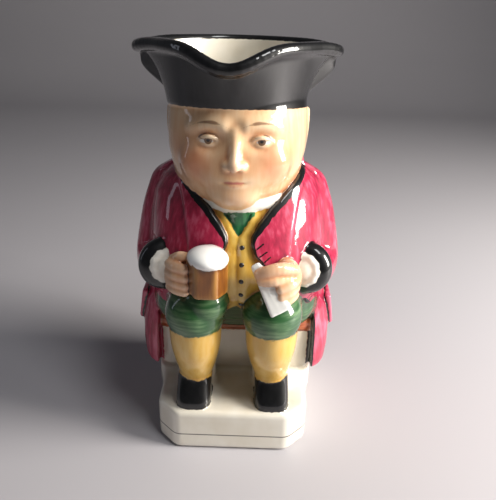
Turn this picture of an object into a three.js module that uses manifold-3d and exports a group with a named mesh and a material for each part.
// Toby jug: one slip-cast body of glazed earthenware, hollow, open at the hat.
// Millimetres, +Z up. The seated figure looks along -Y; the origin is the middle of the flat underside.
import * as THREE from 'three';
import { mergeVertices } from 'three/addons/utils/BufferGeometryUtils.js';
import Module from 'manifold-3d';

const wasm = await Module();
wasm.setup();

// ---- driving dimensions ----
const WALL = 4.6; // cast wall
const BASE = 6; // floor under the hollow

const PLINTH = { half: 43.4, front: -51.6, back: 45, chamfer: 11.4, height: 26, round: 2.6 };
const SEAT = { half: 44.5, front: -12.5, back: 22, chamfer: 4, foot: 22, under: 57.5, top: 64, lip: 1.6 };
const COVE = 9; // hollow curve in front, where the seat block meets the plinth

// Figure, one side; the other is its mirror. Limbs are stations of [x, y, z, radius].
const ARM = [[37.5, 5, 142, 13], [41.5, 4, 126, 14], [44, -1, 103, 15], [40, -19, 102, 13], [38, -27, 107, 11]];
const CUFF = { at: [37.8, -29.5, 108.5], radius: 12.6, bead: 4.2, wide: 8, axis: [-0.36, -0.91, 0.18] };
const THIGH = [[21, 8, 80, 19], [21, -18, 84.5, 17.5], [20.5, -42, 86.5, 15.8]];
const HIP = { at: [32, -8, 77], radii: [15, 19, 15] };
const SHIN = [[20.5, -42, 78, 13.5], [20.8, -39, 64, 12.4], [21, -33, 51, 10], [21.3, -30, 40, 8.6]];
const SHOE = [[21.3, -28, 41, 9], [22, -34, 36.5, 9.3], [22.8, -39, 34.5, 9.4]];
const WEB = { inner: 12.5, outer: 29, front: -37, foot: 24, top: 80 }; // clay between shin and seat block

// Level outlines: [z, half width, front y, back y, squareness]
const TORSO = [
  [58, 44, -11, 38, 2.6], [80, 46, -30, 41, 2.5], [94, 47, -42, 41.5, 2.4], [108, 46.5, -45.5, 41.5, 2.3],
  [120, 46, -43, 40, 2.2], [132, 45, -38.5, 37.5, 2.2], [143, 43, -34, 34, 2.2], [151, 38.5, -30, 30.5, 2.2],
  [158, 31, -25, 26, 2.1],
];
const SKIRT = [
  [33, 55.5, -21, 44.5, 4.2], [36, 57, -21.5, 46, 4], [46, 58, -21, 46.5, 4], [60, 58, -20, 46, 3.6],
  [72, 56, -18, 43.5, 3.2], [84, 51, -14, 41, 2.6],
];
const TAILS = { apart: 46.5, top: 70 }; // the coat hangs open over the seat's front
const COLLAR = [[136, 26, -33, 20, 2], [140, 27.5, -35.5, 21, 2], [144, 28.5, -37.4, 22, 2], [149, 29, -38.4, 24, 2]];
const HEAD = [
  [143.5, 20, -34, 18, 2], [146, 25, -38, 22, 2.1], [151, 30.5, -41, 28, 2.1], [158, 34, -42, 33, 2.1],
  [168, 36.4, -42, 36.5, 2.1], [178, 36.8, -41.5, 37.5, 2.1], [188, 36, -40.5, 37, 2.1], [194, 35, -39.5, 36.5, 2],
];
const LEAN = -0.8; // the head sits a little to the figure's right
const EAR = { at: [35.6, 2, 176], radii: [4, 8, 13] };
const NOSE = [[0, -40.5, 180, 2.4], [0, -43.5, 172, 3.2], [0, -45.8, 166, 4.2]];

// Hat: a turned-up brim round the band, with a spout in front and a corner on each side.
const BAND = { half: 36, long: 38.8, x: -1.8, y: -1.5, side: 188.3, front: 191.6 };
const RIM = { radius: 41.5, ahead: 1.5, z: 221 };
const CORNER = { turn: 96, spread: 20, out: 11.6, drop: 2.3, dip: 14 };
const SPOUT = { turn: -3, spread: 21, out: 4.5, belly: 24, drop: 8.6 };
const FOLD = { front: 90, back: 101 }; // turns where the front flap gives way to the back flap
const BRIM_SIDES = 48;
const ROLL = 1; // the rim is rolled outward by this much

const FIST = { at: [28, -44, 107], radii: [10, 10.5, 12] };
const MUG = { at: [-12, -53.5], radius: 9.5, foot: 104, top: 124, foam: 5, sides: 12 };
const LAP = { at: [-15, -46, 94], radii: [12, 12, 12] }; // breeches under the mug
const PAPER = { from: [16, -48, 119], to: [28.5, -57, 91], wide: 9, thick: 3.6 };
const HANDLE = [[0, 34, 184], [0, 52, 192], [0, 69, 184], [0, 75, 164], [0, 73, 138], [0, 64, 112], [0, 50, 97], [0, 36, 92]];
const STRAP = { wide: 7.4, thick: 5 }; // half sizes of the handle's section

// The hollow: [z, half width, front y, back y, squareness], one wall inside the outer faces
const HOLLOW = [
  [BASE, 34, -38, 36, 5], [9, 38.5, -45.5, 40, 5], [21, 38.5, -45.5, 40, 5], [26, 39, -8, 38, 4], [34, 43, -7.5, 40, 3.2],
  [56, 46, -8, 40, 2.8], [68, 46, -14, 39, 2.6], [84, 43.5, -26, 37.5, 2.4], [98, 42, -39, 36.5, 2.3],
  [120, 41, -37, 35.5, 2.2], [134, 39.5, -32, 32, 2.2], [145, 32, -27.5, 27, 2.1], [152, 27, -30, 23.5, 2.1],
  [160, 29.5, -36, 29, 2.1], [172, 31.8, -37, 32, 2.1], [182, 31.8, -36, 32.5, 2.1],
];

// ---- helpers ----
function solid(geometry) {
  geometry.deleteAttribute('normal');
  geometry.deleteAttribute('uv');
  const merged = mergeVertices(geometry, 1e-4);
  const triVerts = new Uint32Array(merged.index.array);
  const vertProperties = new Float32Array(merged.attributes.position.array);
  return new wasm.Manifold(new wasm.Mesh({ numProp: 3, vertProperties, triVerts }));
}

// A closed skin over rings of equal count, each anticlockwise about the way the stack runs.
function loft(rings) {
  const n = rings[0].length;
  const first = centre(rings[0]);
  const last = centre(rings[rings.length - 1]);
  const points = [...rings.flat(), first, last];
  const index = [];
  for (let k = 0; k + 1 < rings.length; k += 1) {
    for (let i = 0; i < n; i += 1) {
      const a = k * n + i;
      const b = k * n + ((i + 1) % n);
      index.push(a, b, b + n, a, b + n, a + n);
    }
  }
  const top = (rings.length - 1) * n;
  for (let i = 0; i < n; i += 1) {
    const j = (i + 1) % n;
    index.push(points.length - 2, j, i, points.length - 1, top + i, top + j);
  }
  const geometry = new THREE.BufferGeometry().setFromPoints(points);
  geometry.setIndex(index);
  return solid(geometry);
}

function centre(ring) {
  const sum = ring.reduce((total, p) => total.add(p), new THREE.Vector3());
  return sum.divideScalar(ring.length);
}

// One level outline: a rounded square of the given squareness between a front and a back, about x = middle.
function oval([z, half, front, back, squareness], sides, middle) {
  const ring = [];
  for (let i = 0; i < sides; i += 1) {
    const turn = (2 * Math.PI * i) / sides;
    const c = Math.cos(turn);
    const s = Math.sin(turn);
    const x = half * Math.sign(c) * Math.abs(c) ** (2 / squareness);
    const y = ((back - front) / 2) * Math.sign(s) * Math.abs(s) ** (2 / squareness);
    ring.push(new THREE.Vector3(middle + x, (front + back) / 2 + y, z));
  }
  return ring;
}

// A closed skin through a table of level outlines.
const stack = (table, sides, middle = 0) => loft(table.map((level) => oval(level, sides, middle)));

// A rectangle with cut corners, inset all round.
function cutCorners(z, half, front, back, chamfer, inset) {
  const x = half - inset;
  const f = front + inset;
  const b = back - inset;
  const c = chamfer - 0.586 * inset; // keeps the 45 degree faces parallel
  const corners = [[x - c, f], [x, f + c], [x, b - c], [x - c, b], [c - x, b], [-x, b - c], [-x, f + c], [c - x, f]];
  return corners.map(([px, py]) => new THREE.Vector3(px, py, z));
}

// A limb: round sections along a smooth path, with ball ends.
function limb(stations, sides = 16, steps = 8) {
  const path = new THREE.CatmullRomCurve3(stations.map(([x, y, z]) => new THREE.Vector3(x, y, z)));
  const rings = [];
  for (let k = 0; k <= steps; k += 1) {
    const u = k / steps;
    const place = u * (stations.length - 1);
    const i = Math.min(Math.floor(place), stations.length - 2);
    const radius = THREE.MathUtils.lerp(stations[i][3], stations[i + 1][3], place - i);
    const at = path.getPoint(u);
    const along = path.getTangent(u);
    if (k === 0) rings.push(...ballEnd(at, along, radius, sides, -1));
    rings.push(hoop(at, along, radius, radius, sides));
    if (k === steps) rings.push(...ballEnd(at, along, radius, sides, 1));
  }
  return loft(rings);
}

function ballEnd(at, along, radius, sides, way) {
  const turns = way < 0 ? [75, 50, 25] : [25, 50, 75];
  return turns.map((degrees) => {
    const turn = THREE.MathUtils.degToRad(degrees);
    const place = at.clone().addScaledVector(along, way * radius * Math.sin(turn));
    return hoop(place, along, radius * Math.cos(turn), radius * Math.cos(turn), sides);
  });
}

// A round or oval section square to a direction; wide lies along X as nearly as it can.
function hoop(at, along, wide, thick, sides) {
  const across = new THREE.Vector3(1, 0, 0).addScaledVector(along, -along.x).normalize();
  const over = new THREE.Vector3().crossVectors(along, across);
  const ring = [];
  for (let i = 0; i < sides; i += 1) {
    const turn = (2 * Math.PI * i) / sides;
    const p = at.clone().addScaledVector(across, wide * Math.cos(turn));
    ring.push(p.addScaledVector(over, thick * Math.sin(turn)));
  }
  return ring;
}

function egg({ at, radii }, round = 16, tall = 10) {
  const geometry = new THREE.SphereGeometry(1, round, tall);
  geometry.scale(...radii);
  geometry.translate(...at);
  return solid(geometry);
}

function mirrored({ at, ...rest }) {
  return { at: [-at[0], at[1], at[2]], ...rest };
}

const flip = (stations) => stations.map(([x, ...rest]) => [-x, ...rest]);

// ---- the jug's parts ----
function plinth() {
  const { half, front, back, chamfer, height, round } = PLINTH;
  const level = (z, inset) => cutCorners(z, half, front, back, chamfer, inset);
  const low = [level(0, 1.6), level(0.5, 0.7), level(1.6, 0.1)];
  const high = [level(height - round, 0.3), level(height - 0.8, 0.9), level(height, round)];
  return loft([...low, ...high]);
}

function seat() {
  const { half, front, back, chamfer, foot, under, top, lip } = SEAT;
  const level = (z, out, ahead = 0) => cutCorners(z, half, front - ahead, back, chamfer, -out);
  const rings = [level(foot, -2, COVE)];
  for (const degrees of [5, 30, 60, 90]) {
    const turn = THREE.MathUtils.degToRad(degrees);
    rings.push(level(PLINTH.height + COVE * (1 - Math.cos(turn)), 0, COVE * (1 - Math.sin(turn))));
  }
  return loft([...rings, level(under, 0), level(under + 1, lip), level(top - 1.5, lip), level(top, 0)]);
}

function coat() {
  const skirt = stack(SKIRT, 42);
  const gap = new THREE.BoxGeometry(2 * TAILS.apart, 20, TAILS.top);
  gap.translate(0, SEAT.front - 10, TAILS.top / 2);
  return skirt.subtract(solid(gap));
}

function leg(side) {
  const way = side < 0 ? flip : (stations) => stations;
  const { inner, outer, front, foot, top } = WEB;
  const web = new THREE.BoxGeometry(outer - inner, SEAT.front + 4 - front, top - foot);
  web.translate((side * (outer + inner)) / 2, (SEAT.front + 4 + front) / 2, (top + foot) / 2);
  const hip = side < 0 ? mirrored(HIP) : HIP;
  return [limb(way(THIGH), 16, 5), egg(hip, 12, 8), limb(way(SHIN), 16, 5), limb(way(SHOE), 14, 3), solid(web)];
}

function cuff(side) {
  const { at, radius, bead, wide, axis } = CUFF;
  const along = new THREE.Vector3(side * axis[0], axis[1], axis[2]).normalize();
  const middle = new THREE.Vector3(side * at[0], at[1], at[2]);
  const profile = [[-wide / 2, radius - bead], [-wide / 2 + 1.5, radius - 1], [0, radius], [wide / 2 - 1, radius - 0.6],
    [wide / 2, radius - bead]];
  const rings = profile.map(([step, r]) => hoop(middle.clone().addScaledVector(along, step), along, r, r, 18));
  return loft(rings);
}

function arm(side) {
  const way = side < 0 ? flip : (stations) => stations;
  const fist = side < 0 ? mirrored(FIST) : FIST;
  return [limb(way(ARM), 16, 8), cuff(side), egg(fist, 14, 9)];
}

function mug() {
  const { at, radius, foot, top, foam, sides } = MUG;
  const level = (z, r) => hoop(new THREE.Vector3(at[0], at[1], z), new THREE.Vector3(0, 0, 1), r, r, sides);
  return loft([level(foot, radius), level(top, radius), level(top + 0.6 * foam, 0.8 * radius), level(top + foam, 0.3 * radius)]);
}

function paper() {
  const { from, to, wide, thick } = PAPER;
  const start = new THREE.Vector3(...from);
  const end = new THREE.Vector3(...to);
  const along = end.clone().sub(start).normalize();
  const across = new THREE.Vector3(1, 0, 0).addScaledVector(along, -along.x).normalize();
  const over = new THREE.Vector3().crossVectors(along, across);
  const strip = new THREE.BoxGeometry(wide, thick, start.distanceTo(end));
  strip.applyMatrix4(new THREE.Matrix4().makeBasis(across, over, along));
  strip.translate(...start.add(end).divideScalar(2).toArray());
  return solid(strip);
}

// Hat brim in turns from the front, toward +X: s runs from 0 at the band to 1 at the rim.
const bell = (degrees, spread) => Math.exp(-((degrees / spread) ** 2));

// How far the brim has swung out at height s: the back flap leaves the band lower down than the front one.
function flare(degrees, s) {
  const behind = THREE.MathUtils.smoothstep(Math.abs(degrees), FOLD.front, FOLD.back);
  const flap = THREE.MathUtils.lerp(s ** 1.9, THREE.MathUtils.smoothstep(s, 0.06, 0.66), behind);
  return THREE.MathUtils.lerp(s ** 1.4, flap, bell(Math.abs(degrees) - CORNER.turn, CORNER.spread));
}

function rimRadius(degrees) {
  const ahead = RIM.ahead * Math.cos(THREE.MathUtils.degToRad(degrees));
  const corner = CORNER.out * bell(Math.abs(degrees) - CORNER.turn, CORNER.spread);
  return RIM.radius + ahead + corner + SPOUT.out * bell(degrees - SPOUT.turn, SPOUT.belly);
}

function brimPoint(degrees, s, inset) {
  const turn = THREE.MathUtils.degToRad(degrees);
  const band = (BAND.half * BAND.long) / Math.hypot(BAND.half * Math.cos(turn), BAND.long * Math.sin(turn));
  const low = THREE.MathUtils.lerp(BAND.side, BAND.front, Math.max(Math.cos(turn), 0));
  const spoutDrop = SPOUT.drop * bell(degrees - SPOUT.turn, SPOUT.spread);
  const high = RIM.z - spoutDrop - CORNER.drop * bell(Math.abs(degrees) - CORNER.turn, CORNER.dip);
  const radius = THREE.MathUtils.lerp(band, rimRadius(degrees), flare(degrees, s)) - inset;
  const z = THREE.MathUtils.lerp(low, high, s);
  return new THREE.Vector3(BAND.x + radius * Math.sin(turn), BAND.y - radius * Math.cos(turn), z);
}

function brimRing(s, inset, lift = 0) {
  const ring = [];
  for (let i = 0; i < BRIM_SIDES; i += 1) {
    const p = brimPoint(-180 + (360 * i) / BRIM_SIDES, s, inset);
    ring.push(p.setZ(p.z + lift));
  }
  return ring;
}

function hat() {
  const rings = [brimRing(0, 1.5, -3)];
  for (const s of [0, 0.2, 0.4, 0.58, 0.74]) rings.push(brimRing(s, 0));
  rings.push(brimRing(0.86, -ROLL), brimRing(0.95, -ROLL), brimRing(1, ROLL));
  return loft(rings);
}

function hatHollow() {
  const rings = [brimRing(0, WALL, -12), brimRing(0, WALL)];
  for (const s of [0.2, 0.4, 0.58, 0.74, 0.86]) rings.push(brimRing(s, WALL));
  rings.push(brimRing(1, WALL - ROLL), brimRing(1, WALL - ROLL, 15));
  return loft(rings);
}

function handle() {
  const path = new THREE.CatmullRomCurve3(HANDLE.map((p) => new THREE.Vector3(...p)));
  const steps = 18;
  const rings = [];
  for (let k = 0; k <= steps; k += 1) {
    const u = k / steps;
    rings.push(hoop(path.getPoint(u), path.getTangent(u), STRAP.wide, STRAP.thick, 14));
  }
  return loft(rings);
}

// ---- the casting ----
function casting() {
  const ears = [egg(EAR, 12, 8), egg(mirrored(EAR), 12, 8)];
  const head = [stack(HEAD, 32, LEAN), hat(), ...ears, limb(NOSE, 10, 3)];
  const body = [stack(TORSO, 36), coat(), stack(COLLAR, 28), ...arm(-1), ...arm(1), ...leg(-1), ...leg(1)];
  const parts = [plinth(), seat(), ...body, ...head, mug(), egg(LAP), paper(), handle()];
  const outside = parts.reduce((whole, part) => whole.add(part));
  return outside.subtract(stack(HOLLOW, 28)).subtract(hatHollow());
}

function toGeometry(body) {
  const mesh = body.getMesh();
  const geometry = new THREE.BufferGeometry();
  geometry.setAttribute('position', new THREE.BufferAttribute(mesh.vertProperties, 3));
  geometry.setIndex(new THREE.BufferAttribute(mesh.triVerts, 1));
  return geometry;
}

const glaze = new THREE.MeshStandardMaterial({ color: 0xe9e4da, roughness: 0.12, metalness: 0 });
const jug = new THREE.Mesh(toGeometry(casting()), glaze);
jug.name = 'toby_jug';

const object = new THREE.Group();
object.add(jug);
export default object;
